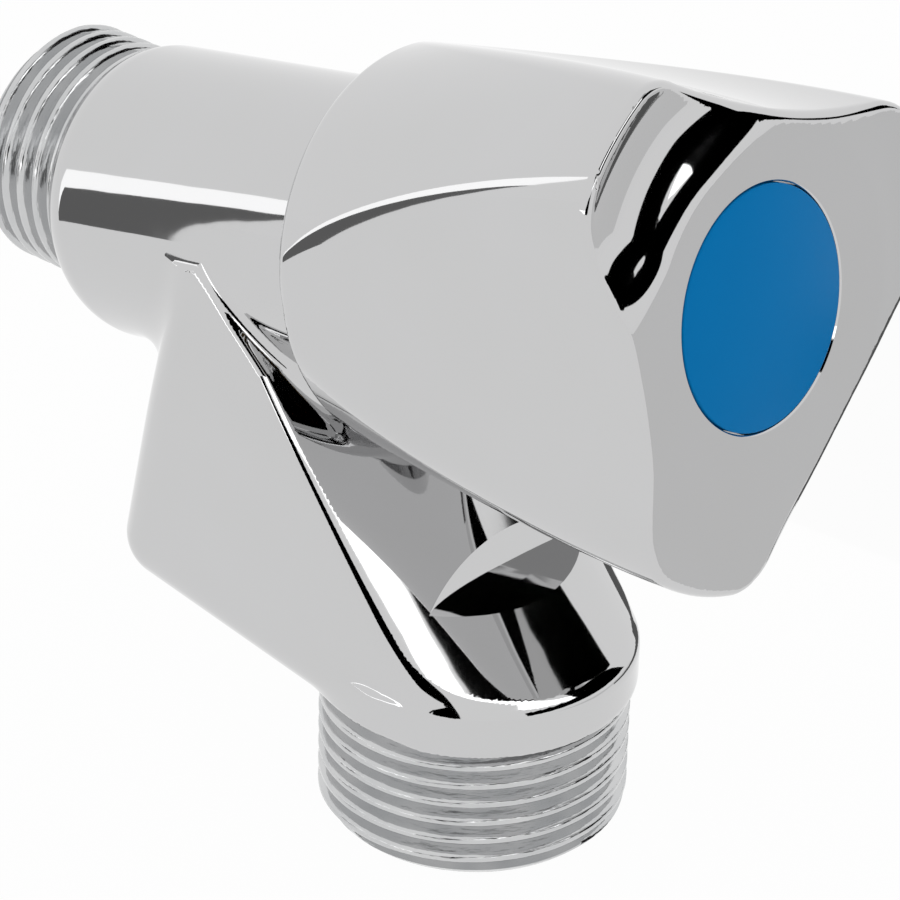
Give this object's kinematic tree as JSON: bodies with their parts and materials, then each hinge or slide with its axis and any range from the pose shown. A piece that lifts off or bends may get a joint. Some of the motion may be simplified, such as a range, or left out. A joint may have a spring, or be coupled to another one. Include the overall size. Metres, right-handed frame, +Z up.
{
  "type": "washing machine tap",
  "caption": "Chromed angled stop tap with a threaded inlet, a threaded hose outlet, a turning three sided handle with a blue index cap, and a non-return valve in the outlet.",
  "frame": {"origin": "centre of the inlet's end face, which points into the wall", "axes": "+Y along the inlet into the wall, +Z up, the handle points towards -Y, the hose outlet points down"},
  "size_m": [0.0416, 0.0799, 0.0769],
  "materials": {
    "body_chrome": "polished and chromed casting",
    "handle_chrome": "polished and chromed",
    "brass": "turned",
    "steel": "drawn",
    "blue_plastic": "smooth moulded",
    "white_plastic": "moulded",
    "rubber": "moulded",
    "fibre": "pressed fibre"
  },
  "bodies": {
    "body": {"valve_body": "body_chrome", "bonnet": "brass", "bonnet_gasket": "fibre", "thrust_washer": "white_plastic", "check_clip": "steel", "check_housing": "white_plastic", "check_guide": "white_plastic", "check_ring": "rubber", "check_spring": "steel"},
    "handle": {"spindle": "brass", "spindle_ring_inner": "rubber", "spindle_ring_outer": "rubber", "spindle_clip": "steel", "spline_adapter": "white_plastic", "handle_shell": "handle_chrome", "handle_screw": "steel", "index_cap": "blue_plastic"},
    "jumper": {"jumper": "brass", "seat_washer": "rubber", "washer_screw": "steel"},
    "poppet": {"check_poppet": "white_plastic", "poppet_seal": "rubber"}
  },
  "joints": [
    {"name": "spindle_turn", "type": "hinge", "parent": "body", "child": "handle", "pos_m": [0, -0.0181, 0], "axis": [0, -0.9829, 0.184], "range_deg": [0, 720]},
    {"name": "jumper_slide", "type": "slide", "parent": "body", "child": "jumper", "axis": [0, -0.9829, 0.184], "range_m": [0, 0.005]},
    {"name": "poppet_drop", "type": "slide", "parent": "body", "child": "poppet", "axis": [0, 0, -1], "range_m": [0, 0.0025], "stiffness_N_per_m": 60, "springref_m": -0.002, "deforming": ["check_spring"]}
  ],
  "couplings": [
    {"joint": "jumper_slide", "follows": "spindle_turn", "m_per_rad": 0.00039789}
  ]
}
